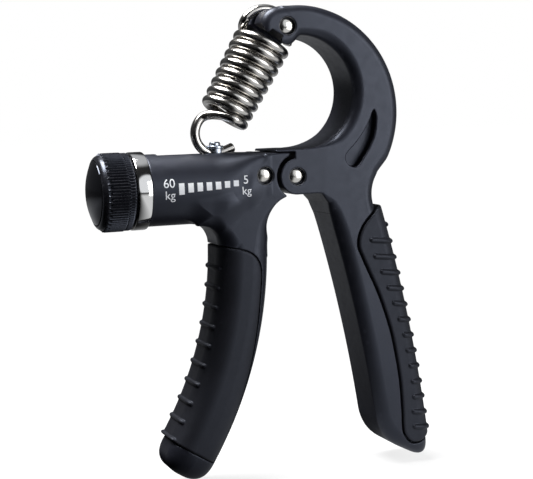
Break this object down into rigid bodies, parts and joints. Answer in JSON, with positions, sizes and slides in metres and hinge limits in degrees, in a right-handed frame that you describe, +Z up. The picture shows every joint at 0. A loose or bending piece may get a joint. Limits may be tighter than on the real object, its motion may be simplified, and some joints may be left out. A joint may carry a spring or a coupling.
{
  "type": "hand grip strengthener",
  "caption": "Adjustable hand grip strengthener: two hinged handles with ribbed rubber grips, an extension spring on a C-shaped hook and a knob that sets the load.",
  "frame": {"origin": "on the flat back face of the right arm, beside the hinge: the hinge axis is 12 mm towards the knob and 2 mm below", "axes": "+X along the barrel away from the knob, +Z up with the handles below, -Y towards the face that carries the load scale"},
  "size_m": [0.1168, 0.0258, 0.1582],
  "materials": {
    "arm_plastic": "satin moulded nylon",
    "grip_rubber": "fine matte rubber",
    "knob_plastic": "satin moulded plastic with axial ribs",
    "cap_gloss": "gloss",
    "chrome": "mirror chrome plating",
    "spring_nickel": "bright nickel-plated spring wire",
    "rivet_nickel": "bright nickel plating",
    "zinc": "blue-white zinc plating",
    "plate_steel": "plain stamped steel",
    "bush_nylon": "natural nylon"
  },
  "bodies": {
    "left_side": {"left_arm": "arm_plastic", "left_grip": "grip_rubber", "collar": "chrome", "bearing_bush": "bush_nylon", "hinge_plate": "plate_steel", "arm_rivet": "rivet_nickel"},
    "adjuster": {"knob": "knob_plastic", "knob_cap": "cap_gloss", "knob_screw": "zinc", "lead_screw": "plate_steel", "thrust_washer": "plate_steel"},
    "nut_carriage": {"slide_nut": "zinc", "spring_eye": "zinc"},
    "hook_end": {"spring_hook_tail": "spring_nickel"},
    "lower_loop": {"spring_lower_hook": "spring_nickel"},
    "lower_coils": {"spring_lower_coils": "spring_nickel"},
    "upper_coils": {"spring_upper_coils": "spring_nickel"},
    "upper_loop": {"spring_upper_hook": "spring_nickel"},
    "right_side": {"right_arm": "arm_plastic", "right_grip": "grip_rubber", "hinge_rivet": "rivet_nickel", "hinge_washers": "plate_steel", "spring_rivet": "rivet_nickel"}
  },
  "joints": [
    {"name": "squeeze", "type": "hinge", "parent": "left_side", "child": "right_side", "pos_m": [-0.012, -0.0105, -0.002], "axis": [0, 1, 0], "range_deg": [0, 30], "stiffness_Nm_per_rad": 4, "springref_deg": -5.73},
    {"name": "knob_turn", "type": "hinge", "parent": "left_side", "child": "adjuster", "pos_m": [-0.0676, -0.0105, -0.0047], "axis": [-1, 0, 0], "range_deg": [-6126, 1734]},
    {"name": "nut_travel", "type": "slide", "parent": "left_side", "child": "nut_carriage", "axis": [1, 0, 0], "range_m": [-0.017, 0.0048]},
    {"name": "hook_swing", "type": "hinge", "parent": "nut_carriage", "child": "hook_end", "pos_m": [-0.0373, -0.0105, 0.0064], "axis": [0, 1, 0], "range_deg": [-4.28, 15.17], "deforming": ["spring_hook_tail"]},
    {"name": "spring_swing", "type": "hinge", "parent": "hook_end", "child": "lower_loop", "pos_m": [-0.0373, -0.0105, 0.0064], "axis": [0, 1, 0], "range_deg": [0, 24.7], "deforming": ["spring_lower_hook"]},
    {"name": "lower_end_stretch", "type": "slide", "parent": "lower_loop", "child": "lower_coils", "axis": [0.4914, 0, 0.871], "range_m": [-0.00148, 0.00524], "deforming": ["spring_lower_coils"]},
    {"name": "coil_stretch", "type": "slide", "parent": "lower_coils", "child": "upper_coils", "axis": [0.4914, 0, 0.871], "range_m": [0, 0.01296], "deforming": ["spring_upper_coils"]},
    {"name": "upper_end_stretch", "type": "slide", "parent": "upper_coils", "child": "upper_loop", "axis": [0.4914, 0, 0.871], "range_m": [-0.00148, 0.00524], "deforming": ["spring_upper_hook"]}
  ],
  "couplings": [
    {"joint": "knob_turn", "follows": "nut_travel", "rad_per_m": 6283.2},
    {"joint": "hook_swing", "follows": "nut_travel", "rad_per_m": -15.264},
    {"joint": "spring_swing", "follows": "squeeze", "ratio": 0.80708},
    {"joint": "lower_end_stretch", "follows": "nut_travel", "ratio": -0.3025},
    {"joint": "coil_stretch", "follows": "squeeze", "m_per_rad": 0.02426},
    {"joint": "upper_end_stretch", "follows": "nut_travel", "ratio": -0.3025}
  ]
}
